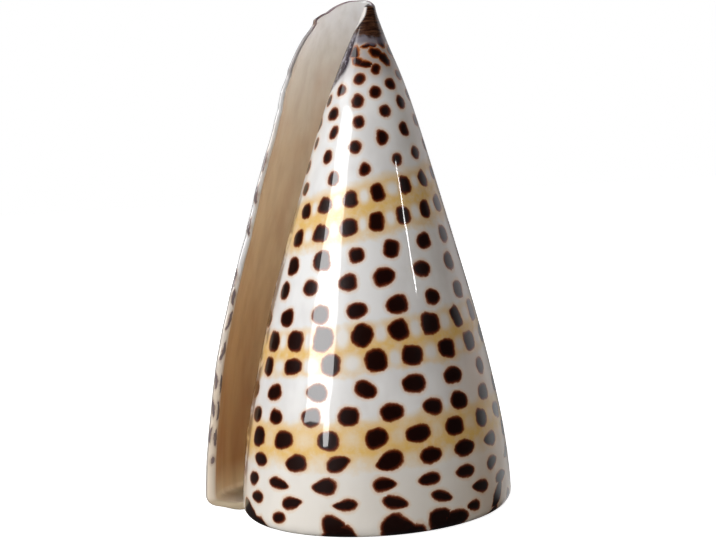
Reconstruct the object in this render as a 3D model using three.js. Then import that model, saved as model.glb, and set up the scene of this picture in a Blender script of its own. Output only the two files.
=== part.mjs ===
// A lettered cone shell standing on its flat spire, narrow end up.
// Millimetres, +Z up. The aperture is the slot on the -X side, open towards -Y.
import * as THREE from 'three';
import { mergeVertices } from 'three/addons/utils/BufferGeometryUtils.js';

// Driving dimensions
const shellHeight = 111.2;
const lipTopHeight = 107.6;
const axisLean = 0.0544; // the coiling axis leans towards +X, mm per mm of height
const shoulderRadius = 2.8;
const wallAtShoulder = 1.75;
const wallAtTip = 0.8;
const cavityFloor = 2.1;
const spireWhorls = 7;
const whorlRatio = 1.27; // each whorl is this much wider than the one before it
const sutureHeight = 0.55;
const crestShare = 0.22; // across a whorl's top: its outer edge has come down to the flat land here
const landShare = 0.45; // and from here it climbs to the suture
const spireDish = 1.1;
const apexRise = 0.4;
const coreShrink = 0.12; // share that the hidden wall of the body draws in over one turn

// Radius of the body where the lip covers it, and of the lip itself: [height, radius]
const bodyProfile = [
  [-3, 28.1], [6, 28], [16, 27], [30, 24.2], [50, 19.8], [72, 13.8], [90, 8.5], [98, 5.6],
  [102, 4], [106, 2.5], [109, 1.4], [111.5, 0.9],
];
const lipProfile = [
  [-3, 36.7], [6, 36.6], [19, 35.6], [33, 33.5], [46, 30.7], [59, 27.3], [73, 23.8], [86, 20.2],
  [95, 17.9], [103, 14.5], [108, 11.8], [111.5, 9.2],
];
// How suddenly the last turn flares out to the lip: [height, power]
const flareSharpness = [
  [-3, 1.05], [30, 1.7], [50, 2.15], [72, 2.6], [90, 3.05], [102, 3.7], [111.5, 4.8],
];
// Sideways place of the coiling axis, before its lean: [height, x]
const axisPath = [
  [-3, 2.5], [30, 2.1], [60, 1.75], [96, 1.75], [103, 1.95], [107, 2.5], [111.5, 3.2],
];

// Mesh fineness
const cavitySteps = 15;
const bodySteps = 27;
const levels = 30;
const shoulderSteps = 3;
const rampShares = [0, crestShare, landShare, 0.75, 1];

const fullTurn = 2 * Math.PI;
const degrees = Math.PI / 180;
const lipRiseAngle = 70 * degrees;
const cavityEndLow = 215 * degrees;
const cavityEndHigh = 140 * degrees;
const sutureFade = 40 * degrees;

// A smooth curve through a profile's points, with no overshoot between them.
function profileAt(points, height) {
  const last = points.length - 1;
  const clamped = THREE.MathUtils.clamp(height, points[0][0], points[last][0]);
  let i = 0;
  while (i < last - 1 && clamped > points[i + 1][0]) i += 1;
  const span = points[i + 1][0] - points[i][0];
  const t = (clamped - points[i][0]) / span;
  const startSlope = slopeAt(points, i) * span;
  const endSlope = slopeAt(points, i + 1) * span;
  const rise = points[i + 1][1] - points[i][1];
  const bend = startSlope + endSlope - 2 * rise;
  return points[i][1] + t * (startSlope + t * (rise - startSlope - bend * (1 - t)));
}

function slopeAt(points, i) {
  const before = points[Math.max(i - 1, 0)];
  const after = points[Math.min(i + 1, points.length - 1)];
  return (after[1] - before[1]) / (after[0] - before[0]);
}

// Outer radius at an angle going back from the lip, at a height along the coiling axis.
function outerRadius(angle, height) {
  const body = profileAt(bodyProfile, height);
  const flare = profileAt(lipProfile, height) - body;
  const sharpness = profileAt(flareSharpness, height);
  return body + flare * Math.max(1 - angle / fullTurn, 0) ** sharpness;
}

// The sides are measured along the leaning axis, so the level slice is corrected for the lean.
function heightOnAxis(angle, height) {
  return height - axisLean * outerRadius(Math.min(angle, fullTurn), height) * Math.cos(angle);
}

function shoulderInset(height) {
  if (height >= shoulderRadius) return 0;
  const below = shoulderRadius - height;
  return shoulderRadius - Math.sqrt(Math.max(shoulderRadius ** 2 - below ** 2, 0));
}

function wallThickness(height) {
  return THREE.MathUtils.mapLinear(height, 0, shellHeight, wallAtShoulder, wallAtTip);
}

function outerAt(angle, height) {
  return outerRadius(angle, heightOnAxis(angle, height)) - shoulderInset(height);
}

// The body's wall inside the aperture, which goes on from its outside under the lip.
function innerWallAt(angle, height) {
  const shrink = 1 - coreShrink * angle / fullTurn;
  return outerAt(fullTurn, height) * shrink;
}

function cavityEnd(height) {
  return THREE.MathUtils.mapLinear(height, 0, shellHeight, cavityEndLow, cavityEndHigh);
}

// The inside face of the outer wall, which closes on the body's wall at the cavity's end.
function innerFaceAt(angle, height) {
  const wall = innerWallAt(angle, height);
  const share = Math.min(angle / cavityEnd(height), 1);
  const open = Math.sqrt(1 - share ** 4);
  return wall + open * (outerAt(angle, height) - wallThickness(height) - wall);
}

function rimHeight(angle) {
  const share = Math.max(1 - angle / lipRiseAngle, 0);
  return shellHeight - (shellHeight - lipTopHeight) * share ** 3;
}

function place(radius, angle, height) {
  const centre = profileAt(axisPath, height) + axisLean * height;
  return new THREE.Vector3(centre - radius * Math.cos(angle), radius * Math.sin(angle), height);
}

// Angles round one turn: even steps over the cavity, then even steps over the rest.
function turnAngles(height) {
  const end = cavityEnd(height);
  const angles = [];
  for (let i = 0; i <= cavitySteps; i += 1) angles.push(end * i / cavitySteps);
  for (let i = 1; i <= bodySteps; i += 1) angles.push(end + (fullTurn - end) * i / bodySteps);
  return angles;
}

// One level slice: the outside round a full turn, the body's wall inward, the inside face back out.
function slice(share) {
  const guide = cavityFloor + (shellHeight - cavityFloor) * share;
  const angles = turnAngles(guide);
  const heightAt = (angle) => cavityFloor + (rimHeight(angle) - cavityFloor) * share;
  const cavityAngles = angles.slice(0, cavitySteps + 1);
  const outer = angles.map((a) => place(outerAt(a, heightAt(a)), a, heightAt(a)));
  const wall = cavityAngles.map((a) => place(innerWallAt(a, heightAt(fullTurn)), a, heightAt(fullTurn)));
  const face = cavityAngles.map((a) => place(innerFaceAt(a, heightAt(a)), a, heightAt(a)));
  wall[0] = outer[outer.length - 1];
  face[cavitySteps] = wall[cavitySteps];
  return { outer, wall, face };
}

// How far a whorl's outer edge climbs back up the rounded shoulder, where the next whorl covers it.
function coveredShare(turn) {
  return THREE.MathUtils.smoothstep(turn, fullTurn - sutureFade, fullTurn);
}

// Radius of a whorl's outer edge on the spire, going on inward through the earlier whorls.
function edgeRadius(turn) {
  if (turn <= fullTurn) return outerAt(turn, sutureHeight * coveredShare(turn));
  return outerAt(fullTurn, sutureHeight) * whorlRatio ** (1 - turn / fullTurn);
}

function edgeHeight(turn) {
  if (turn <= fullTurn) return sutureHeight * coveredShare(turn);
  return sutureHeight * edgeRadius(turn) / edgeRadius(fullTurn);
}

// A point on the spire: share 0 at the whorl's outer edge, 1 at its suture.
function rampPoint(turn, share) {
  const radius = THREE.MathUtils.lerp(edgeRadius(turn), edgeRadius(turn + fullTurn), share);
  const drop = Math.max(1 - share / crestShare, 0) ** 2;
  const rise = Math.max((share - landShare) / (1 - landShare), 0) ** 2;
  const dish = spireDish * Math.max(1 - radius / edgeRadius(fullTurn), 0) ** 2;
  const height = dish + drop * edgeHeight(turn) + rise * edgeHeight(turn + fullTurn);
  return place(radius, turn, height);
}

class MeshBuilder {
  constructor() {
    this.positions = [];
  }

  triangle(a, b, c) {
    const area = new THREE.Triangle(a, b, c).getArea();
    if (area > 1e-9) this.positions.push(...a.toArray(), ...b.toArray(), ...c.toArray());
  }

  quad(a, b, c, d) {
    this.triangle(a, b, c);
    this.triangle(a, c, d);
  }

  // Joins two rows of equal length with quads.
  strip(lower, upper) {
    for (let i = 0; i < lower.length - 1; i += 1) this.quad(lower[i], upper[i], upper[i + 1], lower[i + 1]);
  }

  fan(centre, edge) {
    for (let i = 0; i < edge.length - 1; i += 1) this.triangle(centre, edge[i], edge[i + 1]);
  }

  geometry() {
    const soup = new THREE.BufferGeometry();
    soup.setAttribute('position', new THREE.Float32BufferAttribute(this.positions, 3));
    const merged = mergeVertices(soup, 1e-3);
    merged.computeVertexNormals();
    return merged;
  }
}

function sliceLoop({ outer, wall, face }) {
  return [...outer, ...wall.slice(1), ...face.slice(0, -1).reverse(), outer[0]];
}

function addWalls(mesh) {
  const slices = [];
  for (let j = 0; j <= levels; j += 1) slices.push(slice(j / levels));
  for (let j = 0; j < levels; j += 1) mesh.strip(sliceLoop(slices[j]), sliceLoop(slices[j + 1]));
  return slices;
}

function addRim(mesh, { outer, wall, face }) {
  mesh.strip(outer.slice(0, cavitySteps + 1), face);
  const tip = place(0, 0, shellHeight + 0.2);
  mesh.fan(tip, [...outer.slice(cavitySteps), ...wall.slice(1), outer[cavitySteps]].reverse());
}

function addCavityFloor(mesh, { wall, face }) {
  mesh.strip(face, wall);
}

// Height on the shoulder's round, from the cavity's floor at share 0 to the foot at share 1.
function shoulderHeight(share) {
  const startLean = Math.acos(1 - cavityFloor / shoulderRadius);
  return shoulderRadius * (1 - Math.cos(startLean * (1 - share)));
}

// The rounded shoulder below the cavity's floor, as rows from the wall down to the shoulder's foot.
function addShoulder(mesh, firstRow) {
  const angles = turnAngles(cavityFloor);
  const rows = [firstRow];
  for (let j = 1; j < shoulderSteps; j += 1) {
    const share = j / shoulderSteps;
    const heightAt = (a) => THREE.MathUtils.lerp(shoulderHeight(share), edgeHeight(a), share);
    rows.push(angles.map((a) => place(outerAt(a, heightAt(a)), a, heightAt(a))));
  }
  rows.push(angles.map((a) => rampPoint(a, 0)));
  for (let j = 0; j < shoulderSteps; j += 1) mesh.strip(rows[j + 1], rows[j]);
  return rows;
}

function rampRib(turn) {
  return rampShares.map((share) => rampPoint(turn, share));
}

function addSpire(mesh) {
  const angles = turnAngles(cavityFloor);
  for (let whorl = 0; whorl < spireWhorls; whorl += 1) {
    const ribs = angles.map((a) => rampRib(a + whorl * fullTurn));
    for (let i = 0; i < ribs.length - 1; i += 1) mesh.strip(ribs[i], ribs[i + 1]);
  }
  const end = spireWhorls * fullTurn;
  const closing = angles.map((a) => rampPoint(end - fullTurn + a, 1));
  const apex = place(0, 0, spireDish - apexRise);
  mesh.fan(apex, [...closing, ...rampRib(end).reverse()]);
}

// The lip's end face below the aperture, in the plane of the lip's edge.
function addLipFoot(mesh, floorSlice, shoulderRows) {
  const body = shoulderRows.map((row) => row[row.length - 1]);
  const lip = shoulderRows.map((row) => row[0]);
  const ramp = rampRib(0);
  const outline = [floorSlice.face[0], ...body, ...ramp.slice(1, -1).reverse(), ...lip.reverse()];
  const flat = outline.map((p) => new THREE.Vector2(p.x, p.z));
  if (THREE.ShapeUtils.isClockWise(flat)) {
    flat.reverse();
    outline.reverse();
  }
  const triangles = THREE.ShapeUtils.triangulateShape(flat, []);
  for (const [a, b, c] of triangles) mesh.triangle(outline[a], outline[b], outline[c]);
}

function shellGeometry() {
  const mesh = new MeshBuilder();
  const slices = addWalls(mesh);
  addRim(mesh, slices[levels]);
  addCavityFloor(mesh, slices[0]);
  const shoulderRows = addShoulder(mesh, slices[0].outer);
  addSpire(mesh);
  addLipFoot(mesh, slices[0], shoulderRows);
  return mesh.geometry();
}

function centreOnOrigin(geometry) {
  geometry.computeBoundingBox();
  const middle = geometry.boundingBox.getCenter(new THREE.Vector3());
  geometry.translate(-middle.x, -middle.y, -geometry.boundingBox.min.z);
}

const shellMaterial = new THREE.MeshStandardMaterial({ color: '#e9dcc0', roughness: 0.22, metalness: 0 });
const geometry = shellGeometry();
centreOnOrigin(geometry);
const shell = new THREE.Mesh(geometry, shellMaterial);
shell.name = 'shell';

const group = new THREE.Group();
group.add(shell);
export default group;
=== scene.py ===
import math

import bpy
import numpy as np
from mathutils import Matrix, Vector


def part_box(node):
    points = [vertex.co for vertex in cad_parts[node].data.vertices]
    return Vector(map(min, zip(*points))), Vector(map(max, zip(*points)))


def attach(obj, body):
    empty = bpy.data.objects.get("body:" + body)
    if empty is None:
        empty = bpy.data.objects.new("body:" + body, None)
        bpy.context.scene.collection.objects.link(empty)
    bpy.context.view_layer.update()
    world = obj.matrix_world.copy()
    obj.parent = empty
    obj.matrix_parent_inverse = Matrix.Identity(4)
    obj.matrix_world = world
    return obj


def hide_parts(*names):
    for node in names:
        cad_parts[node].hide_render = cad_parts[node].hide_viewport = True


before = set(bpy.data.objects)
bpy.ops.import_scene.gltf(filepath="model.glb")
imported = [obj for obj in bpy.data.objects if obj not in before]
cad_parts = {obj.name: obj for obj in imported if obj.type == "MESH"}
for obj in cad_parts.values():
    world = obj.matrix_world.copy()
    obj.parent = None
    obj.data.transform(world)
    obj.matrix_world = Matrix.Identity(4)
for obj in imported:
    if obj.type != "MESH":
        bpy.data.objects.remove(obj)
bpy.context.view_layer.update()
print("frame loaded")

mm = 0.001
fullTurn = 2 * math.pi

# The shell's shape, in mm. Heights are up from the spire, radii out from the coiling axis.
# Angles go back round the last whorl, in radians, from the lip (0) to where the lip covers the body
# (a full turn). The profiles are pairs of a height and its value.
shellShape = {
    "height": 111.2,
    "lipTop": 107.6,
    "rimTop": 111.9,
    "columellaTop": 110.1,
    "lipRise": math.radians(45),  # the rim climbs from the lip's end over this angle
    "riseSharpness": 2.6,
    "rimFall": (1.0, 3.05),  # angles between which the rim comes down to the columella
    "rimNick": (0.2, 0.06, 0.45),  # angle, half width and depth
    "axisLean": 0.0544,
    "body": [
        (-3, 28.1), (6, 28), (16, 27.2), (30, 24.7), (50, 20.1), (72, 13.9), (90, 8.5), (98, 5.6),
        (102, 4), (106, 2.4), (109, 1.3), (111.5, 0.8),
    ],
    "lip": [
        (-3, 36.7), (6, 36.6), (19, 35.6), (33, 33.7), (46, 30.9), (59, 27.4), (73, 23.8), (86, 20.2),
        (95, 17.9), (103, 14.5), (108, 11.8), (111.5, 9.2),
    ],
    "flareSharpness": [
        (-3, 1.05), (30, 1.7), (50, 2.15), (72, 2.6), (90, 3.05), (102, 3.7), (111.5, 4.8),
    ],
    "axis": [
        (-3, 2.5), (30, 2.25), (60, 1.9), (96, 1.75), (103, 1.85), (107, 2.1), (111.5, 2.3),
    ],
    "shoulder": 2.8,
    "wallLow": 2.35,
    "wallHigh": 0.85,
    "cavityFloor": 1.6,
    "cavityEnd": 0.45,  # share of a turn
    "floorRoundness": 2.6,
    "floorNarrow": 4,  # where the cavity is narrower than this, its floor gets shallower
    "coreShrink": 0.12,  # share the body's hidden wall draws in over a turn
    "lipRound": 0.55,  # how far the lip's edge stands forward, over half its thickness
    "lipRoundThickest": 2.2,  # thicker places stand no further
    "rimTurn": 0.08,  # share of the rim where its round turns from forward to up
    "lipWaves": [(0.22, 0.31, 0.6), (0.12, 0.83, 2.0)],  # wear: depth, pace up the edge, start
    "lipWear": 0.3,
    "lipWearFrom": (4, 12),  # heights between which the wear comes in
    "lipSqueeze": 0.7,  # mesh columns close up to the worn edge over this angle
    "footLift": 1.4,
    "footRadii": (27.5, 35),  # the lift comes in between these radii
    "footAngle": 0.8,  # and has gone at this angle and this height
    "footHeight": 14,
    "suture": 0.55,
    "sutureFade": math.radians(40),
    "whorlRatio": 1.27,  # each whorl is this much wider than the one before it
    "whorls": 10,
    "crest": 0.22,  # share across a whorl where its outer edge has come down
    "land": 0.45,  # share where it starts up to the suture
    "dish": 1.1,
    "apex": 0.4,
    "tipDome": 0.3,
}
# Chips in the lip's edge, in mm: height, half height and depth back from the edge
lipChips = [(95.2, 1.6, 0.8), (105.6, 1.3, 0.5), (88.5, 0.8, 0.4), (61.0, 1.0, 0.4)]
# Faces round the whorl, up it, over its edges, across a whorl of the spire, and in to the tip; and
# how near, in mm, points have to be to join up
shellMesh = {"columns": 220, "rows": 165, "edge": 6, "ramp": 7, "tip": 6, "weld": 0.004}


def smoothCurve(points):
    # A curve through the points whose bend has no jump, so reflections stay clean
    xs, ys = np.array(points, float).T
    gaps = np.diff(xs)
    system = np.eye(len(xs))
    right = np.zeros(len(xs))
    for i in range(1, len(xs) - 1):
        system[i, i - 1] = gaps[i - 1]
        system[i, i] = 2 * (gaps[i - 1] + gaps[i])
        system[i, i + 1] = gaps[i]
        right[i] = 6 * ((ys[i + 1] - ys[i]) / gaps[i] - (ys[i] - ys[i - 1]) / gaps[i - 1])
    bends = np.linalg.solve(system, right)

    def valueAt(x):
        x = np.clip(x, xs[0], xs[-1])
        i = np.clip(np.searchsorted(xs, x) - 1, 0, len(xs) - 2)
        after, before = (x - xs[i]) / gaps[i], (xs[i + 1] - x) / gaps[i]
        straight = before * ys[i] + after * ys[i + 1]
        bent = (before ** 3 - before) * bends[i] + (after ** 3 - after) * bends[i + 1]
        return straight + bent * gaps[i] ** 2 / 6

    return valueAt


bodyRadius = smoothCurve(shellShape["body"])
lipRadius = smoothCurve(shellShape["lip"])
flareSharpness = smoothCurve(shellShape["flareSharpness"])
axisPlace = smoothCurve(shellShape["axis"])


def smoothStep(x, start, end):
    t = np.clip((x - start) / (end - start), 0, 1)
    return t * t * (3 - 2 * t)


def mix(a, b, share):
    return a + (b - a) * share


def freeRadius(angle, height):
    body = bodyRadius(height)
    flare = lipRadius(height) - body
    return body + flare * np.maximum(1 - angle / fullTurn, 0) ** flareSharpness(height)


def outerRadius(angle, height):
    # The profiles run along the leaning axis, and the shoulder rounds under at the bottom
    turn = np.clip(angle, 0, fullTurn)
    onAxis = height - shellShape["axisLean"] * freeRadius(turn, height) * np.cos(angle)
    below = np.maximum(shellShape["shoulder"] - height, 0)
    inset = shellShape["shoulder"] - np.sqrt(np.maximum(shellShape["shoulder"] ** 2 - below ** 2, 0))
    return freeRadius(turn, onAxis) - inset


def wallThickness(height):
    return mix(shellShape["wallLow"], shellShape["wallHigh"], height / shellShape["height"])


def coreRadius(angle, height):
    # The body's own wall, going on inside the aperture
    start = outerRadius(np.full_like(angle, fullTurn), height)
    return start * (1 - shellShape["coreShrink"] * angle / fullTurn)


def innerRadius(angle, height):
    # The inside face of the outer wall, closing on the body at the cavity's end
    core = coreRadius(angle, height)
    share = np.clip(angle / (fullTurn * shellShape["cavityEnd"]), 0, 1)
    opening = np.sqrt(1 - share ** 4)
    return core + opening * (outerRadius(angle, height) - wallThickness(height) - core)


def placeOf(radius, angle, height):
    # The lip's foot lifts a little off the ground
    height = height + 0 * radius
    near = smoothStep(radius, *shellShape["footRadii"]) * (1 - smoothStep(angle, 0, shellShape["footAngle"]))
    near = near * (1 - smoothStep(height, 0, shellShape["footHeight"]))
    height = height + shellShape["footLift"] * near
    centre = axisPlace(height) + shellShape["axisLean"] * height
    return np.stack([centre - radius * np.cos(angle), radius * np.sin(angle), height], -1)


def rimHeight(angle):
    # Up from the lip's end, over the highest part, then down to the columella, with one nick
    share = np.maximum(1 - angle / shellShape["lipRise"], 0)
    rise = (shellShape["rimTop"] - shellShape["lipTop"]) * share ** shellShape["riseSharpness"]
    fall = (shellShape["rimTop"] - shellShape["columellaTop"]) * smoothStep(angle, *shellShape["rimFall"])
    place, half, depth = shellShape["rimNick"]
    nick = depth * np.exp(-((angle - place) / half) ** 2)
    return shellShape["rimTop"] - rise - fall - nick


def lipStart(height):
    # How far back round the whorl the lip's edge is worn or chipped, as an angle
    waves = [depth * np.sin(height * pace + start) for depth, pace, start in shellShape["lipWaves"]]
    back = sum(waves) + shellShape["lipWear"]
    for place, half, depth in lipChips:
        back = back + depth * np.exp(-(((height - place) / half) ** 2) ** 1.5)
    return back * smoothStep(height, *shellShape["lipWearFrom"]) / lipRadius(height)


def wallHeight(angle, share):
    return mix(shellShape["shoulder"], rimHeight(angle), share)


def turnAngle(column, share):
    # Columns are even round the turn, but start at the lip's worn edge
    even = column * fullTurn
    start = lipStart(wallHeight(0.0, share))
    return even + start * np.maximum(1 - even / shellShape["lipSqueeze"], 0) ** 2


def edgeShare(turn):
    return smoothStep(turn, fullTurn - shellShape["sutureFade"], fullTurn)


def edgeRadius(turn):
    # A whorl's outer edge on the spire, where the next whorl covers it
    last = np.minimum(turn, fullTurn)
    first = outerRadius(last, shellShape["suture"] * edgeShare(last))
    return first * shellShape["whorlRatio"] ** -np.maximum(turn / fullTurn - 1, 0)


def edgeHeight(turn):
    inner = shellShape["whorlRatio"] ** -np.maximum(turn / fullTurn - 1, 0)
    return shellShape["suture"] * edgeShare(np.minimum(turn, fullTurn)) * inner


def rampPlace(turn, share):
    radius = mix(edgeRadius(turn), edgeRadius(turn + fullTurn), share)
    drop = np.maximum(1 - share / shellShape["crest"], 0) ** 2
    rise = np.maximum((share - shellShape["land"]) / (1 - shellShape["land"]), 0) ** 2
    dish = shellShape["dish"] * np.maximum(1 - radius / edgeRadius(np.full_like(turn, fullTurn)), 0) ** 2
    return placeOf(radius, turn, dish + drop * edgeHeight(turn) + rise * edgeHeight(turn + fullTurn))


def shoulderPlace(angle, share):
    # Down round the shoulder, from the wall at share 0 to the spire's edge at share 1
    radius = shellShape["shoulder"]
    lowest = np.arccos(1 - edgeHeight(angle) / radius)
    height = radius * (1 - np.cos(mix(math.pi / 2, lowest, share)))
    return placeOf(outerRadius(angle, height), angle, height)


print("shape set")


# The spots, row by row. A row's height is where it comes out from under the lip, and it climbs
# from there; angles are degrees on round the front. The rest go on evenly round the back.
spotRows = [
    # height, width, spot height, squareness, angles
    (3.3, 3.9, 2.2, 2.2, [49, 135, 205]),
    (6.55, 5.4, 2.5, 1.8, [33, 56, 80, 100, 119.5, 140, 157]),
    (10.1, 5.2, 2.8, 1.9, [29, 48, 71, 96, 114.5, 132, 150]),
    (14.4, 5.5, 3.4, 1.9, [34, 57, 77, 98, 116, 133, 151]),
    (18.75, 5.2, 3.8, 2.5, [30, 49, 72, 93, 111, 129, 147, 164]),
    (23.2, 4.4, 3.6, 2.3, [24.5, 42, 63, 81, 100, 119, 134, 153]),
    (28.0, 4.8, 3.5, 2.2, [15.5, 38, 65, 88.5, 111, 133, 156]),
    (33.2, 4.5, 4.1, 2.8, [28, 49, 71, 93.5, 112, 132, 151]),
    (38.25, 4.3, 4.5, 2.8, [29, 48, 66, 87, 106, 124.5, 144, 164]),
    (43.0, 4.4, 3.6, 2.2, [13, 38, 63, 84, 106, 129, 153]),
    (48.6, 4.1, 3.7, 2.2, [30, 54, 78, 100, 125, 151]),
    (53.6, 3.7, 3.7, 2.7, [34, 59, 83, 106, 131, 154]),
    (59.3, 3.5, 3.9, 2.8, [32, 55, 77, 97, 118, 139, 159]),
    (64.8, 3.0, 3.5, 2.6, [34, 55, 77, 99, 124, 145.5]),
    (70.0, 2.6, 3.0, 2.3, [23, 59, 88.5, 120, 145]),
    (75.1, 2.6, 2.8, 2.2, [14, 47.5, 78, 107, 136]),
    (79.9, 2.4, 2.6, 2.2, [19, 50, 81, 114, 143]),
    (84.3, 2.6, 2.5, 2.2, [11, 42, 78, 104, 131]),
    (88.8, 2.2, 2.4, 2.2, [21, 48, 78, 108]),
]
# Blotches that lap round the shoulder, some of them from two or three lobes, and the strands by
# the narrow end: angle, height, width, tall, tilt in degrees
shoulderBlotches = [
    (26, 2.2, 9.4, 4.4, -27), (33, -0.6, 7, 6, 0),
    (75.5, 2.8, 5.2, 4.2, 0), (77, 0.0, 7.4, 6, 5),
    (99, 2.5, 4.8, 5.4, -10), (102.5, 1.2, 8.2, 5.8, -20), (105, -0.9, 8.2, 7, -8),
    (118.5, 2.8, 5.4, 4.6, 20), (126, 1.7, 6.4, 4.6, -5), (122, -0.4, 7.6, 7.2, 0),
    (152.5, 4.6, 2.6, 7.4, -42), (148.5, -0.4, 3.2, 5.6, -12),
    (166, -0.6, 4, 9, 10),
]
tipStrands = [
    (114, 99.8, 3.4, 1.8, -25), (133, 98.5, 3.6, 1.9, -45), (60, 100.2, 1.9, 3.0, 15),
    (70, 98.2, 3.0, 1.8, -30), (88, 97.4, 3.2, 1.6, -8), (140, 102.3, 1.7, 3.0, 12),
    (97, 101.4, 3.6, 1.0, 6), (172, 100.4, 1.9, 3.2, 20), (205, 98.6, 3.8, 1.8, -30),
    (238, 101, 1.9, 2.6, 10), (262, 99, 3.8, 1.7, -24), (300, 100.6, 3.2, 1.8, -34),
    (332, 99.4, 1.9, 2.8, 14),
]
# Marks on the lip's edge: height, tall, and degrees in from its outer side
lipBars = [
    (77.6, 4, 1.2), (70.5, 4, 1.2), (63.4, 3.6, 1.2), (51.9, 4.4, 1.2), (48.2, 3.4, 2),
    (43.1, 3.6, 2.6), (36.2, 3.8, 2.4), (29.6, 3.6, 1.5), (28.9, 3.8, 3.3), (23.5, 3.6, 1.4),
    (22.8, 3.8, 3.2), (17.6, 3.0, 1.2), (16.9, 3.4, 3.0), (11.8, 1.4, 2.6),
]
spotStyle = {
    "seed": 11,
    "sizeJitter": 0.08,
    "tiltJitter": 10,  # degrees
    "backJitter": 2,  # degrees, for spots round the back
    "backStep": 24,  # degrees, for rows with too few spots to have a spacing
    "lipAngle": 351,  # the last spot of each row, by the lip
    "taper": (0.14, 0.36),  # how much spots narrow to one end, above taperHeight and below it
    "taperHeight": 18,
    "barHalfWide": 0.22,
    "shoulderEnd": 350,  # degrees, the last blotch of the shoulder
    "spireStart": -14.0,  # degrees, the first spot of the earlier whorls
    "spireStep": (21, 33),
    "blotchSquareness": 2.3,
    "spireSquareness": 2.2,
}


rowClimb = {"always": 0.3, "byHeight": 0.137}  # mm in half a turn, and mm for each mm of height


def rowHeight(start, angle):
    return start + (rowClimb["always"] + rowClimb["byHeight"] * start) * angle / 180


def roundTheBack(angles, end):
    # The front's own spacing goes on to the lip
    step = (angles[-1] - angles[0]) / (len(angles) - 1) if len(angles) > 3 else spotStyle["backStep"]
    count = max(round((end - angles[-1]) / step), 1)
    return [angles[-1] + (end - angles[-1]) * i / count for i in range(1, count + 1)]


def spotTable():
    # Spots: turn in degrees, height, half width, half height, squareness and tilt. Pale patches
    # between neighbours in a row: turn, height, half width and half height
    chance = np.random.default_rng(spotStyle["seed"])
    table, between = [], []
    for start, width, tall, squareness, angles in spotRows:
        back = roundTheBack(angles, spotStyle["lipAngle"])
        rowStart = len(table)
        for angle in angles + back:
            wide, high = 1 + spotStyle["sizeJitter"] * chance.normal(size=2)
            tilt = math.radians(spotStyle["tiltJitter"] * chance.normal())
            if angle in back[:-1]:
                angle += chance.uniform(-spotStyle["backJitter"], spotStyle["backJitter"])
            height = rowHeight(start, angle)
            table.append((angle, height, width / 2 * wide, tall / 2 * high, squareness, tilt))
        for left, right in zip(table[rowStart:-1], table[rowStart + 1:]):
            middle = [(a + b) / 2 for a, b in zip(left, right)]
            free = math.radians(right[0] - left[0]) / 2 * spotRadius(*middle[:2]) - middle[2]
            between.append((middle[0], middle[1], free * 0.95, middle[3] * 0.9))
    for angle, height, width, tall, tilt in shoulderBlotches + tipStrands:
        table.append((angle, height, width / 2, tall / 2, spotStyle["blotchSquareness"], math.radians(tilt)))
    for height, tall, inward in lipBars:
        angle = 360 + inward - math.degrees(lipStart(height))
        table.append((angle, height, spotStyle["barHalfWide"], tall / 2, 3, 0))
    # Blotches round the back of the shoulder
    for angle in roundTheBack([shoulderBlotches[-1][0]], spotStyle["shoulderEnd"]):
        wide, tall, tilt = chance.uniform(2.5, 4), chance.uniform(4, 4.8), chance.uniform(-0.4, 0.4)
        table.append((angle, chance.uniform(-1, -0.2), wide, tall, spotStyle["blotchSquareness"], tilt))
    # The earlier whorls, where the turn goes on below zero and heights are inward from the edge
    turn = spotStyle["spireStart"]
    while turn > 360 * (1 - shellShape["whorls"]):
        size = shellShape["whorlRatio"] ** (turn / 360)
        wide, tall, tilt = chance.uniform(2, 3.6), chance.uniform(2.4, 3.6), chance.uniform(-0.5, 0.5)
        inward = -chance.uniform(1.5, 4.5) * size
        table.append((turn, inward, wide * size, tall * size, spotStyle["spireSquareness"], tilt))
        turn -= chance.uniform(*spotStyle["spireStep"])
    return np.array(table), between


def spotRadius(turn, height):
    # Radius that turns degrees into mm of surface at a spot
    along = math.radians(360 - turn)
    if turn < 0:
        return float(edgeRadius(np.array(along))) * 0.93
    return float(outerRadius(np.array(along), np.array(max(height, 0.6))))


def fromSpot(turn, height, chosen):
    # Across and up from a spot's middle in mm, the way the spot is tilted and narrowed to one end
    angle, middle, halfWide, _, _, tilt = spots[chosen].T
    x, y = np.radians(turn - angle) * spotRadii[chosen], height - middle
    across, up = x * np.cos(tilt) + y * np.sin(tilt), y * np.cos(tilt) - x * np.sin(tilt)
    high, low = spotStyle["taper"]
    taper = np.where(middle > spotStyle["taperHeight"], high, low) * np.sin(chosen * 2.4)
    return across, up / (1 + taper * np.clip(across / halfWide, -1, 1))


def nearestSpot(turn, height):
    # Which spot's edge is nearest to each place
    best, bestGap = np.zeros(len(turn), int), np.full(len(turn), 1e9)
    for i, (angle, _, halfWide, halfTall, squareness, _) in enumerate(spots):
        near = np.flatnonzero(np.abs(turn - angle) < 40)
        across, up = fromSpot(turn[near], height[near], np.full(len(near), i))
        share = np.abs(across / halfWide) ** squareness + np.abs(up / halfTall) ** squareness
        share = share ** (1 / squareness)
        gap = np.hypot(across, up) * (1 - 1 / np.maximum(share, 0.02))
        closer = gap < bestGap[near]
        best[near[closer]], bestGap[near[closer]] = i, gap[closer]
    return best


def paleness(turn, height):
    # How far each place is into the pale patches between neighbouring spots
    pale = np.zeros(len(turn))
    for angle, middle, halfWide, halfTall in palePatches:
        near = np.abs(turn - angle) < 20
        x, y = np.radians(turn[near] - angle) * spotRadius(angle, middle), height[near] - middle
        pale[near] = np.maximum(pale[near], np.exp(-((x / halfWide) ** 2 + (y / halfTall) ** 2)))
    return pale


spots, palePatches = spotTable()
spotRadii = np.array([spotRadius(row[0], row[1]) for row in spots])


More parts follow.
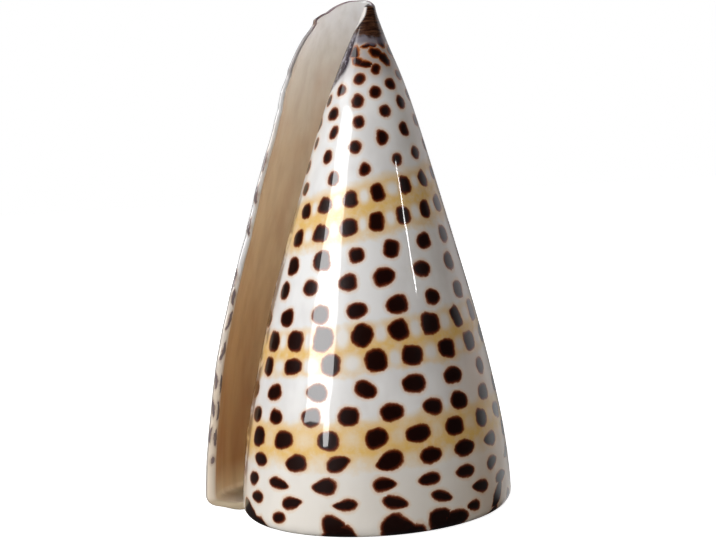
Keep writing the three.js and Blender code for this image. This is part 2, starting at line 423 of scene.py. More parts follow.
def addMarks(mesh, turn, height, edge):
    # Stores, on each face corner, where it is on the shell and where it is from its face's spot
    corners = np.empty(len(mesh.loops), int)
    mesh.loops.foreach_get("vertex_index", corners)
    turnAt, heightAt, edgeAt = turn[corners], height[corners], edge[corners]
    chosen = np.repeat(nearestSpot(turnAt.reshape(-1, 4).mean(1), heightAt.reshape(-1, 4).mean(1)), 4)
    across, up = fromSpot(turnAt, heightAt, chosen)
    _, _, halfWide, halfTall, squareness, _ = spots[chosen].T
    marks = {
        "shellPlace": (turnAt, heightAt, edgeAt),
        "spotPlace": (across, up, squareness),
        "spotSize": (halfWide, halfTall, paleness(turnAt, heightAt)),
    }
    for name, values in marks.items():
        layer = mesh.attributes.new(name, "FLOAT_VECTOR", "CORNER")
        layer.data.foreach_set("vector", np.stack(values, -1).astype(np.float32).ravel())


print(len(spots), "spots placed")


def colour(red, green, blue):
    # A colour as a screen shows it, 0 to 255, turned into the shader's own scale
    return tuple((c / 255) ** 2.2 for c in (red, green, blue)) + (1.0,)


def wire(tree, kind, inputs, **settings):
    # Adds a node, with each input either set or linked from another node's socket
    node = tree.nodes.new("ShaderNode" + kind)
    for name, value in settings.items():
        setattr(node, name, value)
    for name, value in inputs.items():
        if isinstance(value, bpy.types.NodeSocket):
            tree.links.new(value, node.inputs[name])
        else:
            node.inputs[name].default_value = value
    return node


def calc(tree, operation, *values):
    return wire(tree, "Math", dict(enumerate(values)), operation=operation).outputs[0]


def times(tree, first, *others):
    for other in others:
        first = calc(tree, "MULTIPLY", first, other)
    return first


def ease(tree, value, start, end, low=0.0, high=1.0):
    # Goes smoothly from low to high as the value goes from start to end
    inputs = {"Value": value, "From Min": start, "From Max": end, "To Min": low, "To Max": high}
    return wire(tree, "MapRange", inputs, interpolation_type="SMOOTHSTEP").outputs[0]


def without(tree, share):
    return calc(tree, "SUBTRACT", 1.0, share)


def upTo(tree, value, limit, soft):
    # 1 where the value is under the limit, with a soft edge
    return ease(tree, calc(tree, "SUBTRACT", value, limit), -soft, soft, 1.0, 0.0)


def blend(tree, share, under, over):
    return wire(tree, "Mix", {0: share, 6: under, 7: over}, data_type="RGBA").outputs[2]


def noise(tree, place, scale, detail=2.0, roughness=0.5, output=0):
    inputs = {"Vector": place, "Scale": scale, "Detail": detail, "Roughness": roughness}
    return wire(tree, "TexNoise", inputs).outputs[output]


def waver(tree, place, scale):
    return calc(tree, "SUBTRACT", noise(tree, place, scale, 3.0, 0.6), 0.5)


def stretch(tree, place, scale):
    return wire(tree, "Mapping", {"Vector": place, "Scale": scale}).outputs[0]


def ramp(tree, value, stops, interpolation="LINEAR"):
    node = wire(tree, "ValToRGB", {0: value})
    node.color_ramp.interpolation = interpolation
    elements = node.color_ramp.elements
    while len(elements) < len(stops):
        elements.new(1.0)
    for element, (position, tint) in zip(elements, stops):
        element.position, element.color = position, tint
    return node


def grey(value):
    return (value, value, value, 1.0)


def startMaterial(name):
    material = bpy.data.materials.new(name)
    material.use_nodes = True
    tree = material.node_tree
    tree.nodes.clear()
    output = tree.nodes.new("ShaderNodeOutputMaterial")
    shader = tree.nodes.new("ShaderNodeBsdfPrincipled")
    tree.links.new(shader.outputs[0], output.inputs["Surface"])
    objectPlace = tree.nodes.new("ShaderNodeTexCoord").outputs["Object"]
    return material, tree, shader, stretch(tree, objectPlace, (1000, 1000, 1000))  # place in mm


def marked(tree, name):
    # One of the marks stored on the mesh, as three numbers
    place = wire(tree, "Attribute", {}, attribute_name=name).outputs["Vector"]
    return [place] + list(wire(tree, "SeparateXYZ", {0: place}).outputs)


outsideLook = {
    "colours": {
        "ground": (240, 240, 240),
        "groundShade": (228, 227, 227),
        "groundLow": (236, 228, 214),
        "groundRight": (206, 158, 106),
        "groundTip": (178, 172, 172),
        "spot": (33, 13, 8),
        "spotRim": (84, 33, 13),
        "spotEdge": (150, 80, 36),
        "halo": (222, 172, 112),
        "band": (232, 190, 106),
        # Spots over the lip's edge: their own colour, greyed by a painted sheen
        "sheenedLipMark": (130, 118, 118),
        "lipCream": (232, 212, 186),
        # Painted shade: a thin grey line along the outer side of the lip's edge
        "shadeOutline": (118, 118, 124),
        "stain": (42, 22, 14),
        "stainPale": (92, 62, 45),
        "slate": (104, 100, 112),
        "orange": (160, 90, 38),
        "callus": (234, 229, 226),
        "speckleDark": (46, 36, 48),
        "specklePale": (150, 146, 160),
        "rimPink": (160, 128, 142),
        "foot": (190, 172, 142),
        # Painted shadow where the aperture's inside meets the body; also the colour of the suture line
        "shadowSeam": (92, 58, 34),
    },
    # Heights up the body's edge where the three bands lie, with their strength
    "bands": [
        (12.4, 0), (14.6, 0.7), (16.4, 1), (19.4, 1), (21.8, 0.75), (23.2, 0),
        (30.4, 0), (31.8, 0.7), (35.8, 1), (39.6, 0.75), (41.2, 0),
        (55.4, 0), (57.2, 0.7), (62.2, 1), (66.6, 0.85), (68.4, 0),
    ],
    "bandsTop": 110,
    # Across a spot's edge, from inside it out: place on the ramp, colour and strength; and the
    # ramp's length for each mm, with the place of the edge itself
    "spotEdges": [
        (0.0, "spot", 1), (0.26, "spot", 1), (0.46, "spotRim", 1),
        (0.57, "spotEdge", 0.92), (0.66, "halo", 0.34), (0.92, "halo", 0),
    ],
    "edgeRamp": (0.42, 0.56),
    "wobble": 0.11,  # share of a spot's half height that its edge wanders by
    "fineWobble": 0.28,  # mm
    "strands": (95.5, 98),  # above these heights the marks break up into strands
    "orangeFrom": (96.0, 98.5),
    "orangeTo": (101.6, 102.6),  # where slate takes over from orange
    "brownFrom": (103.0, 104.4),
    "onEdge": (0.02, 0.1),  # shares across the lip's edge where its own colours come in
    "roughness": 0.32,
    "specular": 0.15,
    "coatRoughness": 0.03,
    "bump": 0.00022,
}


def paint(name):
    return colour(*outsideLook["colours"][name])


def spotGap(tree, place, height):
    # Distance out from the nearest spot's edge in mm, below zero inside it
    _, across, up, squareness = marked(tree, "spotPlace")
    _, halfWide, halfTall, pale = marked(tree, "spotSize")
    coarse = wire(tree, "SeparateXYZ", {0: noise(tree, place, 0.42, 1.5, output=1)}).outputs
    fine = wire(tree, "SeparateXYZ", {0: noise(tree, place, 1.7, 2.0, output=1)}).outputs
    torn = ease(tree, height, *outsideLook["strands"], 0.0, 0.9)
    reach = calc(tree, "MULTIPLY_ADD", halfTall, outsideLook["wobble"] * 4, torn)
    shifted = []
    for value, slow, quick in ((across, coarse[0], fine[0]), (up, coarse[1], fine[1])):
        wander = calc(tree, "MULTIPLY_ADD", calc(tree, "SUBTRACT", slow, 0.5), reach, value)
        jitter = calc(tree, "SUBTRACT", quick, 0.5)
        shifted.append(calc(tree, "MULTIPLY_ADD", jitter, outsideLook["fineWobble"], wander))
    sides = []
    for value, half in zip(shifted, (halfWide, halfTall)):
        share = calc(tree, "DIVIDE", calc(tree, "ABSOLUTE", value), half)
        sides.append(calc(tree, "POWER", calc(tree, "MAXIMUM", share, 0.001), squareness))
    total = calc(tree, "ADD", *sides)
    share = calc(tree, "POWER", total, calc(tree, "DIVIDE", 1.0, squareness))
    squares = [calc(tree, "MULTIPLY", value, value) for value in shifted]
    away = calc(tree, "SQRT", calc(tree, "ADD", *squares))
    gap = calc(tree, "SUBTRACT", away, calc(tree, "DIVIDE", away, calc(tree, "MAXIMUM", share, 0.02)))
    return gap, pale


def groundColour(tree, place, pale, turn, height):
    # White ground with three yellow-orange bands, paler between neighbouring spots
    cloud = noise(tree, stretch(tree, place, (1, 1, 0.6)), 0.09, 3.0, 0.6)
    ground = blend(tree, ease(tree, cloud, 0.42, 0.66), paint("ground"), paint("groundShade"))
    ground = blend(tree, ease(tree, height, 92, 98.5), ground, paint("groundTip"))
    ground = blend(tree, ease(tree, height, 4, 34, 0.6, 0.0), ground, paint("groundLow"))
    browned = times(
        tree, ease(tree, turn, 118, 160), ease(tree, turn, 180, 230, 0.4, 0.0),
        ease(tree, height, 26, 52, 1.0, 0.15),
    )
    ground = blend(tree, browned, ground, paint("groundRight"))
    # The bands climb with the rows of spots, so this undoes rowHeight
    turns = calc(tree, "DIVIDE", turn, 180)
    flat = calc(tree, "MULTIPLY_ADD", turns, -rowClimb["always"], height)
    start = calc(tree, "DIVIDE", flat, calc(tree, "MULTIPLY_ADD", turns, rowClimb["byHeight"], 1.0))
    wavy = waver(tree, place, 0.25)
    start = calc(tree, "MULTIPLY_ADD", wavy, 3.4, start)
    top = outsideLook["bandsTop"]
    stops = [(at / top, grey(strength)) for at, strength in outsideLook["bands"]]
    band = ramp(tree, calc(tree, "DIVIDE", start, top), stops).outputs[0]
    palest = ease(tree, height, 18, 30, 0.3, 0.85)
    pale = ease(tree, calc(tree, "MULTIPLY_ADD", wavy, 0.8, pale), 0.15, 0.85, 0.0, palest)
    mottle = ease(tree, noise(tree, place, 0.5, 3.0, 0.65), 0.25, 0.7, 0.7, 1.0)
    byLip = ease(tree, turn, 350, 356, 1.0, 0.15)
    band = times(tree, band, mottle, without(tree, pale), byLip)
    return blend(tree, band, ground, paint("band"))


def tipStain(tree, place, turn, height, edge, gap, painted):
    # The narrow end: orange and slate blotches, then brown with fine ridges; a pale callus and a
    # dark speckled strip where the inner lip lies on the body
    at = calc(tree, "MULTIPLY_ADD", waver(tree, place, 0.3), 4.0, height)
    patchy = ease(tree, noise(tree, place, 0.42, 2.0, 0.5), 0.42, 0.58)
    orange = times(
        tree, ease(tree, height, *outsideLook["orangeFrom"]),
        ease(tree, at, *outsideLook["orangeTo"], 1.0, 0.0),
        ease(tree, gap, 0.0, 0.45, 1.0, 0.0), ease(tree, gap, -0.3, 0.05), 0.75,
    )
    painted = blend(tree, orange, painted, paint("orange"))
    onEdge = ease(tree, edge, *outsideLook["onEdge"])
    offEdge = without(tree, onEdge)
    slate = times(tree, ease(tree, at, *outsideLook["orangeTo"]), 0.8, offEdge)
    painted = blend(tree, slate, painted, paint("slate"))
    ridges = noise(tree, stretch(tree, place, (0.35, 0.35, 2.6)), 0.9, 4.0, 0.65)
    brown = blend(tree, ease(tree, ridges, 0.4, 0.62), paint("stain"), paint("stainPale"))
    painted = blend(tree, times(tree, ease(tree, at, *outsideLook["brownFrom"]), offEdge), painted, brown)
    dark = times(tree, onEdge, patchy, ease(tree, height, 104.6, 106.0), 0.8)
    painted = blend(tree, dark, painted, paint("speckleDark"))
    # The speckled strip widens from the aperture's side as it goes up
    strip = upTo(tree, turn, ease(tree, height, 89, 98, 0.0, 50.0), 7.0)
    strip = times(tree, strip, ease(tree, height, 89.5, 93), ease(tree, height, 102, 104.5, 1.0, 0.0))
    speckle = noise(tree, stretch(tree, place, (1, 1, 0.6)), 0.8, 3.0, 0.7)
    speckled = blend(tree, ease(tree, speckle, 0.48, 0.66), paint("speckleDark"), paint("specklePale"))
    painted = blend(tree, strip, painted, speckled)
    callus = upTo(tree, turn, ease(tree, height, 102.5, 109.5, -8.0, 70.0), 10.0)
    painted = blend(tree, times(tree, callus, ease(tree, height, 102, 104)), painted, paint("callus"))
    pink = times(tree, ease(tree, edge, 0.45, 0.8), ease(tree, height, 102, 106), 0.7)
    return blend(tree, pink, painted, paint("rimPink"))


def lipPaint(tree, place, turn, height, edge, inSpot, painted):
    # The lip's edge: cream low down, greyer marks whose grey is partly a painted sheen, a thin grey line of
    # painted shade on its outer side, and a horn-coloured foot; and a patchy dark line of painted shadow
    # where the aperture's inside meets the body, and a brown line along the spire's suture
    onEdge = ease(tree, edge, *outsideLook["onEdge"])
    offSpot = without(tree, inSpot)
    cream = times(tree, onEdge, ease(tree, height, 30, 55, 0.65, 0.0), offSpot)
    painted = blend(tree, cream, painted, paint("lipCream"))
    # Spots that run over the edge, in their own colour greyed by a painted sheen
    painted = blend(tree, times(tree, onEdge, inSpot, 0.85), painted, paint("sheenedLipMark"))
    # Painted shade: a thin grey line on the outer side of the lip's edge
    shadeOutline = times(tree, onEdge, upTo(tree, edge, 0.26, 0.08), 0.65)
    painted = blend(tree, shadeOutline, painted, paint("shadeOutline"))
    foot = times(tree, onEdge, ease(tree, height, 0.6, 2.6, 1.0, 0.0), 0.8)
    painted = blend(tree, foot, painted, paint("foot"))
    # Painted shadow: a patchy dark line on the body where the aperture's inside meets it
    patchy = ease(tree, noise(tree, place, 0.25, 2.0, 0.5), 0.36, 0.52)
    shadowSeam = times(
        tree, upTo(tree, turn, 19.0, 2.5), patchy, ease(tree, turn, -20, -5),
        ease(tree, height, 5, 12), ease(tree, height, 60, 80, 1.0, 0.0), 0.8,
    )
    suture = ease(tree, edge, -1.0, -0.86, 0.55, 0.0)
    return blend(tree, calc(tree, "MAXIMUM", shadowSeam, suture), painted, paint("shadowSeam"))


def makeOutside():
    material, tree, shader, place = startMaterial("spottedGlossyOutside")
    _, turn, height, edge = marked(tree, "shellPlace")
    gap, pale = spotGap(tree, place, height)
    ground = groundColour(tree, place, pale, turn, height)
    stops = [(at, paint(name)[:3] + (strength,)) for at, name, strength in outsideLook["spotEdges"]]
    spotted = ramp(tree, calc(tree, "MULTIPLY_ADD", gap, *outsideLook["edgeRamp"]), stops)
    painted = blend(tree, spotted.outputs["Alpha"], ground, spotted.outputs["Color"])
    painted = lipPaint(tree, place, turn, height, edge, spotted.outputs["Alpha"], painted)
    painted = tipStain(tree, place, turn, height, edge, gap, painted)
    tree.links.new(painted, shader.inputs["Base Color"])
    shader.inputs["Roughness"].default_value = outsideLook["roughness"]
    shader.inputs["Specular IOR Level"].default_value = outsideLook["specular"]
    shader.inputs["Coat Weight"].default_value = 1.0
    shader.inputs["Coat Roughness"].default_value = outsideLook["coatRoughness"]
    ripple = noise(tree, stretch(tree, place, (1, 1, 0.35)), 0.16, 2.0, 0.45)
    bump = wire(tree, "Bump", {"Height": ripple, "Strength": 0.5, "Distance": outsideLook["bump"]})
    tree.links.new(bump.outputs[0], shader.inputs["Normal"])
    tree.links.new(bump.outputs[0], shader.inputs["Coat Normal"])
    return material


insideLook = {
    # Height and colour up the aperture: the inside's own colour with painted shade and a painted glow of
    # light through the wall, tan and darker lower down, cooler at the top
    "shadedTints": [
        (0, (234, 218, 200)), (3, (222, 202, 180)), (9, (180, 152, 120)), (42, (178, 150, 118)),
        (62, (180, 157, 129)), (78, (172, 150, 126)), (84, (173, 156, 138)), (98, (178, 170, 163)),
        (103, (190, 187, 188)), (110, (204, 204, 210)),
    ],
    "tintsTop": 111,
    "streak": (110, 84, 60),
    "mottle": (150, 104, 70),
    "lightReach": (9.5, 8.5, 7.5),  # mm that red, green and blue light goes through the thin wall
    "roughness": 0.34,
    "coat": 0.5,
    "coatRoughness": 0.15,
    "bump": 0.0002,
}


def makeInside():
    material, tree, shader, place = startMaterial("satinInside")
    height = marked(tree, "shellPlace")[2]
    top = insideLook["tintsTop"]
    stops = [(at / top, colour(*tint)) for at, tint in insideLook["shadedTints"]]
    # The height ramp paints shade and the glow of light through the thin wall along with the inside's own
    # colour
    base = ramp(tree, calc(tree, "DIVIDE", height, top), stops).outputs[0]
    streaks = noise(tree, stretch(tree, place, (1, 1, 0.05)), 0.35, 3.0, 0.55)
    shaded = blend(tree, ease(tree, streaks, 0.35, 0.7, 0.0, 0.22), base, colour(*insideLook["streak"]))
    mottle = noise(tree, stretch(tree, place, (1, 1, 0.35)), 0.12, 2.0, 0.5)
    shaded = blend(tree, ease(tree, mottle, 0.45, 0.7, 0.0, 0.3), shaded, colour(*insideLook["mottle"]))
    tree.links.new(shaded, shader.inputs["Base Color"])
    shader.inputs["Subsurface Weight"].default_value = 1.0
    shader.inputs["Subsurface Radius"].default_value = insideLook["lightReach"]
    shader.inputs["Subsurface Scale"].default_value = mm
    shader.inputs["Roughness"].default_value = insideLook["roughness"]
    shader.inputs["Coat Weight"].default_value = insideLook["coat"]
    shader.inputs["Coat Roughness"].default_value = insideLook["coatRoughness"]
    bump = wire(tree, "Bump", {"Height": streaks, "Strength": 0.4, "Distance": insideLook["bump"]})
    tree.links.new(bump.outputs[0], shader.inputs["Normal"])
    return material


outsideMaterial = makeOutside()
insideMaterial = makeInside()
print("materials made")


def addGrid(name, columns, rows, placeAt, marksAt, material):
    # A flat grid primitive, each point moved on to the surface; placeAt gives places in mm
    bpy.ops.mesh.primitive_grid_add(x_subdivisions=columns, y_subdivisions=rows, size=1)
    grid = bpy.context.object
    grid.name = name
    flat = np.empty(len(grid.data.vertices) * 3)
    grid.data.vertices.foreach_get("co", flat)
    across = np.round((flat[0::3] + 0.5) * columns) / columns
    up = np.round((flat[1::3] + 0.5) * rows) / rows
    grid.data.vertices.foreach_set("co", (placeAt(across, up) * mm).ravel())
    grid.data.materials.append(material)
    addMarks(grid.data, *marksAt(across, up))
    print(name, len(grid.data.polygons), "faces")
    return grid


def outsidePlace(column, share):
    angle = turnAngle(column, share)
    height = wallHeight(angle, share)
    return placeOf(outerRadius(angle, height), angle, height)


def facePlace(column, share):
    # The aperture's inside face; column 0 at the lip, 1 at the cavity's end
    angle = turnAngle(column * shellShape["cavityEnd"], share)
    height = wallHeight(angle, share)
    return placeOf(innerRadius(angle, height), angle, height)


def corePlace(column, share):
    angle = column * shellShape["cavityEnd"] * fullTurn
    height = mix(wallHeight(np.full_like(angle, fullTurn), share), wallHeight(angle, share), column)
    ended = placeOf(innerRadius(angle, height), angle, height)
    opened = placeOf(coreRadius(angle, height), angle, height)
    return np.where((column < 1)[:, None], opened, ended)


def floorPlace(column, across):
    # A rounded channel from the core (across 0) to the outer wall's inside face (across 1)
    low = np.zeros_like(column)
    start, end = corePlace(column, low), facePlace(column, low)
    roundness = shellShape["floorRoundness"]
    rounding = (1 - np.abs(2 * across - 1) ** roundness) ** (1 / roundness)
    depth = (shellShape["shoulder"] - shellShape["cavityFloor"]) * rounding
    width = np.linalg.norm(end - start, axis=1)
    place = mix(start, end, (0.5 - 0.5 * np.cos(math.pi * across))[:, None])
    place[:, 2] -= depth * smoothStep(width, 0, shellShape["floorNarrow"])
    return place


def edgeLines():
    # Matching rows of points down the lip's outer and inner edge, then in along its foot to the body
    rows, edge, ramp = shellMesh["rows"], shellMesh["edge"], shellMesh["ramp"]
    share = np.linspace(1, 0, rows + 1)
    down = np.zeros_like(share)
    outer, inner = outsidePlace(down, share), facePlace(down, share)
    steps = np.linspace(0, 1, edge + 1)[1:]
    outer = np.concatenate([outer, shoulderPlace(np.zeros(edge), steps)])
    steps = np.linspace(0, 1, ramp + 1)[1:]
    outer = np.concatenate([outer, rampPlace(np.zeros(ramp), steps)])
    steps = np.linspace(1, 0, edge + ramp + 1)[1:]
    inner = np.concatenate([inner, floorPlace(np.zeros(edge + ramp), steps)])
    return outer, inner


def roundStand(thickness):
    return shellShape["lipRound"] * np.minimum(thickness, shellShape["lipRoundThickest"]) / 2


def halfRound(outer, inner, across, bulge):
    # A half round from outer (across 0) to inner (1), standing out by the bulge vector
    turn = (math.pi * across)[:, None]
    middle, half = (outer + inner) / 2, (outer - inner) / 2
    return middle + half * np.cos(turn) + bulge * np.sin(turn)


def lipEdgePlace(across, down):
    outerLine, innerLine = edgeLines()
    last = len(outerLine) - 1
    row = np.round(down * last).astype(int)
    outer, inner = outerLine[row], innerLine[row]
    thickness = np.linalg.norm(outer - inner, axis=1)
    fade = 1 - smoothStep(row, last - 4, last)
    stand = roundStand(thickness) * fade
    place = halfRound(outer, inner, across, np.stack([0 * stand, -stand, 0 * stand], -1))
    # At the foot's end the edge bends to fit the body's shoulder
    arc = shoulderPlace(np.full_like(across, fullTurn), 1 - across)
    chord = mix(outerLine[last], innerLine[last], across[:, None])
    meet = (1 - fade)[:, None]
    straight = mix(outer, inner, across[:, None])
    return mix(place, straight + arc - chord, meet)


def rimPlace(column, across):
    # Over the wall's top edge, turning from the lip's forward round to an upward one
    top = np.ones_like(column)
    outer, inner = outsidePlace(column * shellShape["cavityEnd"], top), facePlace(column, top)
    stand = roundStand(np.linalg.norm(outer - inner, axis=1))
    upward = smoothStep(column, 0, shellShape["rimTurn"])
    direction = np.stack([0 * upward, upward - 1, upward], -1)
    direction /= np.linalg.norm(direction, axis=1)[:, None]
    return halfRound(outer, inner, across, direction * stand[:, None])


def tipEdge():
    # Round the columella's end: the body, the core wall and the rim's end
    columns = shellMesh["columns"]
    ended = round(columns * shellShape["cavityEnd"])
    body = np.linspace(0, 1, columns + 1)[ended:]
    wall = np.linspace(0, 1, ended + 1)[1:]
    across = np.linspace(1, 0, shellMesh["edge"] + 1)[1:]
    top = [outsidePlace(body, 1 + 0 * body), corePlace(wall, 1 + 0 * wall), rimPlace(1 + 0 * across, across)]
    return np.concatenate(top)


def tipPlace(column, inward):
    edge = tipEdge()
    start = edge[np.round(column * (len(edge) - 1)).astype(int)]
    middle = np.array([edge[:, 0].mean(), edge[:, 1].mean(), edge[:, 2].mean() + shellShape["tipDome"]])
    place = mix(start, middle, inward[:, None])
    place[:, 2] = mix(start[:, 2], middle[2], 1 - (1 - inward) ** 2)
    return place


def spirePlace(along, across):
    return rampPlace(along * shellShape["whorls"] * fullTurn, across)


def apexEdge():
    end = shellShape["whorls"] * fullTurn
    turn = end - fullTurn + np.linspace(0, 1, shellMesh["columns"] + 1) * fullTurn
    across = np.linspace(1, 0, shellMesh["ramp"] + 1)[1:]
    return np.concatenate([rampPlace(turn, 1 + 0 * turn), rampPlace(end + 0 * across, across)])


def apexPlace(column, inward):
    edge = apexEdge()
    start = edge[np.round(column * (len(edge) - 1)).astype(int)]
    centre = placeOf(np.zeros(1), np.zeros(1), np.array([shellShape["dish"] - shellShape["apex"]]))
    return mix(start, centre, inward[:, None])


def shoulderHeight(angle, share):
    # Height on the unrolled pattern, which goes on below zero round the shoulder
    radius = shellShape["shoulder"]
    arc = math.pi / 2 - np.arccos(1 - edgeHeight(angle) / radius)
    return radius - radius * arc * share


def shoulderAround(column, share):
    return shoulderPlace(column * fullTurn, share)


def outsideMarks(column, share):
    angle = turnAngle(column, share)
    return 360 - np.degrees(angle), wallHeight(angle, share), 0 * share


def shoulderMarks(column, share):
    angle = column * fullTurn
    return 360 - np.degrees(angle), shoulderHeight(angle, share), 0 * share


def spireMarks(along, across):
    turn = along * shellShape["whorls"] * fullTurn
    width = edgeRadius(turn) - edgeRadius(turn + fullTurn)
    # Below zero the third mark runs across the whorl instead, for the line at the suture
    return 360 - np.degrees(turn), shoulderHeight(turn, 1 + 0 * turn) - across * width, -across


def lipMarks(across, down):
    # The pattern goes on over the lip's edge
    outer, inner = edgeLines()
    row = np.round(down * (len(outer) - 1)).astype(int)
    rows, edge, ramp = shellMesh["rows"], shellMesh["edge"], shellMesh["ramp"]
    wall = wallHeight(0.0, np.linspace(1, 0, rows + 1))
    shoulder = shoulderHeight(np.zeros(edge), np.linspace(0, 1, edge + 1)[1:])
    width = edgeRadius(np.zeros(1)) - edgeRadius(np.full(1, fullTurn))
    foot = shoulder[-1] - width * np.linspace(0, 1, ramp + 1)[1:]
    height = np.concatenate([wall, shoulder, foot])[row]
    start = np.degrees(lipStart(np.maximum(height, 0)))
    thickness = np.linalg.norm(outer - inner, axis=1)[row]
    past = np.degrees(across * thickness * 1.2 / lipRadius(height))
    return 360 - start + past, height, across


def rimMarks(column, across):
    angle = column * shellShape["cavityEnd"] * fullTurn
    return 360 - np.degrees(angle), rimHeight(angle), across


def tipMarks(column, inward):
    # All one place on the pattern, clear of spots
    return 0 * column + 150, 0 * column + shellShape["height"], 0 * column


def apexMarks(column, inward):
    return 0 * column - 360 * shellShape["whorls"], 0 * column - 50, 0 * column


def insideMarks(column, share):
    return column, wallHeight(0 * column, share), 1 + 0 * column


def floorMarks(column, across):
    return column, 0 * column + shellShape["cavityFloor"], 1 + 0 * column


def buildShell():
    columns, rows, edge, ramp = (shellMesh[k] for k in ("columns", "rows", "edge", "ramp"))
    ended = round(columns * shellShape["cavityEnd"])
    whorls = shellShape["whorls"]
    out, inn = outsideMaterial, insideMaterial
    bpy.ops.object.select_all(action="DESELECT")
    return [
        addGrid("shellOutside", columns, rows, outsidePlace, outsideMarks, out),
        addGrid("shellFace", ended, rows, facePlace, insideMarks, inn),
        addGrid("shellCore", ended, rows, corePlace, insideMarks, inn),
        addGrid("shellFloor", ended, edge + ramp, floorPlace, floorMarks, inn),
        addGrid("shellLip", edge, rows + edge + ramp, lipEdgePlace, lipMarks, out),
        addGrid("shellRim", ended, edge, rimPlace, rimMarks, out),
        addGrid("shellTip", len(tipEdge()) - 1, shellMesh["tip"], tipPlace, tipMarks, out),
        addGrid("shellShoulder", columns, edge, shoulderAround, shoulderMarks, out),
        addGrid("shellSpire", columns * whorls, ramp, spirePlace, spireMarks, out),
        addGrid("shellApex", len(apexEdge()) - 1, 3, apexPlace, apexMarks, out),
    ]


def joinShell(parts):
    bpy.ops.object.select_all(action="DESELECT")
    for part in parts:
        part.select_set(True)
    bpy.context.view_layer.objects.active = parts[0]
    bpy.ops.object.join()
    shell = bpy.context.object
    shell.name = "coneShell"
    bpy.ops.object.mode_set(mode="EDIT")
    bpy.ops.mesh.select_all(action="SELECT")
    bpy.ops.mesh.remove_doubles(threshold=shellMesh["weld"] * mm)
    bpy.ops.mesh.normals_make_consistent(inside=False)
    bpy.ops.object.mode_set(mode="OBJECT")
    bpy.ops.object.shade_smooth()
    return shell


def centreOnFrame(shell):
    # Moves the mesh so that its box is over the frame's; gives back how far
    flat = np.empty(len(shell.data.vertices) * 3)
    shell.data.vertices.foreach_get("co", flat)
    points = flat.reshape(-1, 3)
    low, high = (np.array(corner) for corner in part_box("shell"))
    shift = (low + high) / 2 - (points.min(0) + points.max(0)) / 2
    shift[2] = low[2] - points[:, 2].min()
    shell.data.vertices.foreach_set("co", (points + shift).ravel())
    shell.data.update()
    return shift


shell = joinShell(buildShell())
shift = centreOnFrame(shell)
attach(shell, "root")
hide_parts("shell")
print("shell joined,", len(shell.data.polygons), "faces, moved", [round(v / mm, 3) for v in shift])


# Camera: a little above the shell's middle, looking slightly down, square to the leaning axis
cameraSetup = {"height": 74.14, "distance": 300, "down": 0.071, "lens": 68.2}
# Lights: place and size in mm, power, roll in degrees, and whether it lights the matt colour (matt,
# or warm for the studio's warm tint) or only shows in the gloss; each faces the shell's middle
lights = {
    "key": ((-393, -393, 335), (400, 400), 2.45, 0, "matt"),
    "sideFill": ((-790, -130, 330), (500, 500), 1.55, 0, "matt"),
    "backFill": ((-420, 760, 330), (500, 500), 4.0, 0, "matt"),
    "rightFill": ((690, 60, 240), (500, 500), 0.3, 0, "warm"),
    "window": ((-329, -253, 237), (212, 262), 1.64, 4, "gloss"),
    "windowTop": ((-363, -73, 398), (250, 120), 0.24, 4, "gloss"),
    "windowFoot": ((-312, -359, 103), (54, 40), 0.075, 4, "gloss"),
    "strip": ((459, -300, 296), (17, 104), 0.135, 0, "gloss"),
}
studio = {
    "lightsAim": (0, 0, 55),
    "floor": (240, 240, 240),
    "floorInGloss": (60, 60, 60),
    "floorSize": 8,  # m
    "floorDrop": 0.02,  # mm below the shell
    "glow": 0.94,  # the floor's own light, for the camera only
    "around": 0.13,  # soft light all round, for the matt colour
    "seenInFront": 0.01,  # how bright the surroundings look in the gloss
    "seenBehind": 0.55,
    "glossCentre": (24, -14, 0),  # mm, where directions to the floor are taken from
    "warmth": (1, 0.88, 0.76),
    "glossTint": (1, 0.94, 0.96),
}


def addCamera():
    lean = math.atan(shellShape["axisLean"])
    down = cameraSetup["down"]
    right = (math.cos(lean), 0, -math.sin(lean))
    up = (math.cos(down) * math.sin(lean), math.sin(down), math.cos(down) * math.cos(lean))
    back = (math.sin(down) * math.sin(lean), -math.cos(down), math.sin(down) * math.cos(lean))
    height = cameraSetup["height"]
    spot = (height * math.sin(lean), -cameraSetup["distance"], height * math.cos(lean))
    bpy.ops.object.camera_add()
    camera = bpy.context.object
    camera.data.lens = cameraSetup["lens"]
    camera.data.sensor_width = 36
    turned = Matrix((right, up, back)).transposed().to_4x4()
    turned.translation = [a * mm + b for a, b in zip(spot, shift)]
    camera.matrix_world = turned
    bpy.context.scene.camera = camera


def addLight(name, place, size, power, roll, kind):
    bpy.ops.object.light_add(type="AREA")
    light = bpy.context.object
    light.visible_glossy = kind == "gloss"
    light.visible_diffuse = kind != "gloss"
    light.name = name
    light.data.shape = "RECTANGLE"
    light.data.size, light.data.size_y = (s * mm for s in size)
    light.data.energy = power
    if kind == "warm":
        light.data.color = studio["warmth"]
    away = np.array(place) - studio["lightsAim"]
    away = away / np.linalg.norm(away)
    side = np.cross((0, 0, 1), away)
    side /= np.linalg.norm(side)
    facing = Matrix((side, np.cross(away, side), away)).transposed()
    turned = (facing @ Matrix.Rotation(math.radians(roll), 3, "Z")).to_4x4()
    turned.translation = [v * mm for v in place]
    light.matrix_world = turned


def seenInGloss(tree, direction):
    # How bright the surroundings look in the gloss: dark in front, pale behind and to the right, and
    # less so straight behind
    across, away, _ = wire(tree, "SeparateXYZ", {0: direction}).outputs
    behind = ease(tree, away, 0.05, 0.65, 0.0, ease(tree, across, -0.35, 0.15, 0.05, 1.0))
    behind = calc(tree, "MULTIPLY", behind, ease(tree, away, 0.78, 0.97, 1.0, 0.35))
    return ease(tree, behind, 0.0, 1.0, studio["seenInFront"], studio["seenBehind"])


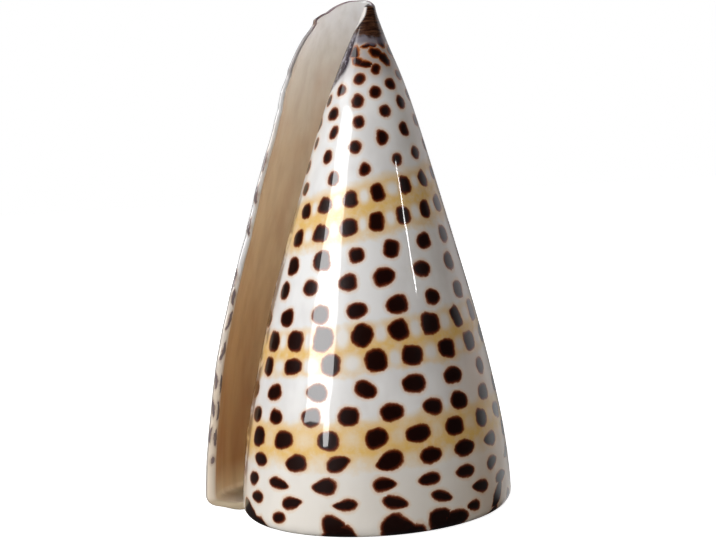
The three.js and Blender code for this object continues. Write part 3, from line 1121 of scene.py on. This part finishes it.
def addStudio():
    bpy.ops.mesh.primitive_plane_add(size=studio["floorSize"], location=(0, 0, -studio["floorDrop"] * mm))
    floor = bpy.context.object
    floor.name = "studioFloor"
    material, tree, shader, place = startMaterial("paleFloor")
    shader.inputs["Roughness"].default_value = 0.9
    shader.inputs["Specular IOR Level"].default_value = 0.0
    shader.inputs["Emission Color"].default_value = (1, 1, 1, 1)
    rays = tree.nodes.new("ShaderNodeLightPath").outputs
    base = blend(tree, rays["Is Glossy Ray"], colour(*studio["floor"]), colour(*studio["floorInGloss"]))
    tree.links.new(base, shader.inputs["Base Color"])
    toPlace = wire(tree, "VectorMath", {0: place, 1: studio["glossCentre"]}, operation="SUBTRACT").outputs[0]
    seen = seenInGloss(tree, wire(tree, "VectorMath", {0: toPlace}, operation="NORMALIZE").outputs[0])
    glow = calc(tree, "MULTIPLY", rays["Is Camera Ray"], studio["glow"])
    glow = calc(tree, "MULTIPLY_ADD", rays["Is Glossy Ray"], seen, glow)
    tree.links.new(glow, shader.inputs["Emission Strength"])
    floor.data.materials.append(material)
    world = bpy.data.worlds.new("studioWorld")
    bpy.context.scene.world = world
    world.use_nodes = True
    tree = world.node_tree
    tree.nodes.clear()
    seen = seenInGloss(tree, tree.nodes.new("ShaderNodeTexCoord").outputs["Generated"])
    rays = tree.nodes.new("ShaderNodeLightPath").outputs
    around = wire(tree, "Mix", {0: rays["Is Glossy Ray"], 2: studio["around"], 3: seen}).outputs[0]
    strength = calc(tree, "MAXIMUM", around, rays["Is Camera Ray"])
    tint = blend(tree, rays["Is Glossy Ray"], studio["warmth"] + (1,), studio["glossTint"] + (1,))
    tint = blend(tree, rays["Is Camera Ray"], tint, (1, 1, 1, 1))
    background = wire(tree, "Background", {"Color": tint, "Strength": strength})
    output = tree.nodes.new("ShaderNodeOutputWorld")
    tree.links.new(background.outputs[0], output.inputs[0])


addCamera()
for name, setup in lights.items():
    addLight(name, *setup)
addStudio()
bpy.context.scene.view_settings.view_transform = "Standard"
print("camera, lights and floor set")
